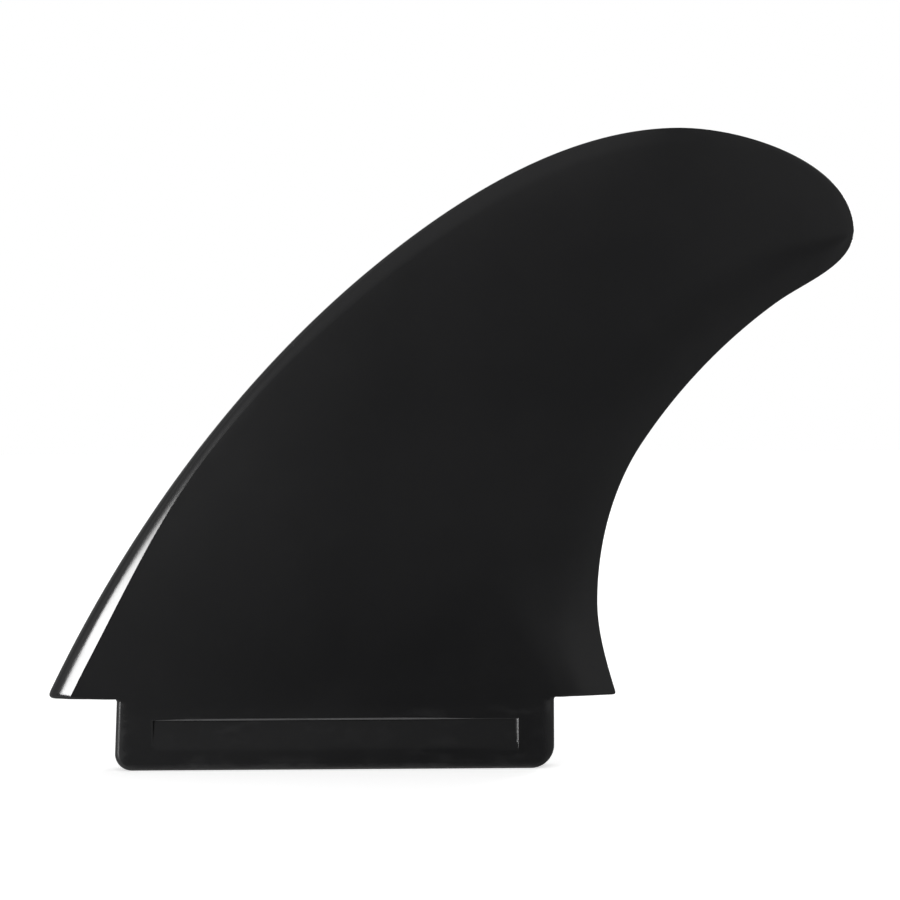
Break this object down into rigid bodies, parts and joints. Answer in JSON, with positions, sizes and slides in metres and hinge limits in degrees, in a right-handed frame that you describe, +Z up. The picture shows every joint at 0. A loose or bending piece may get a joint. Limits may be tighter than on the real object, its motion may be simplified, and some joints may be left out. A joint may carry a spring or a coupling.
{
  "type": "surfboard fin",
  "caption": "Raked surfboard fin: a thin foiled blade with a rounded, swept-back tip over a long flat tab with a ramped recess in each face, which fits a slot in the board.",
  "frame": {"origin": "on the plane where the blade meets the board, at the middle of the tab's length and thickness", "axes": "+X from the leading edge towards the trailing edge, +Y from the face in the picture to the hidden face, +Z up along the blade, away from the board"},
  "size_m": [0.1938, 0.008, 0.1535],
  "materials": {
    "fin": "gloss"
  },
  "bodies": {
    "root": {"fin": "fin"}
  },
  "joints": []
}
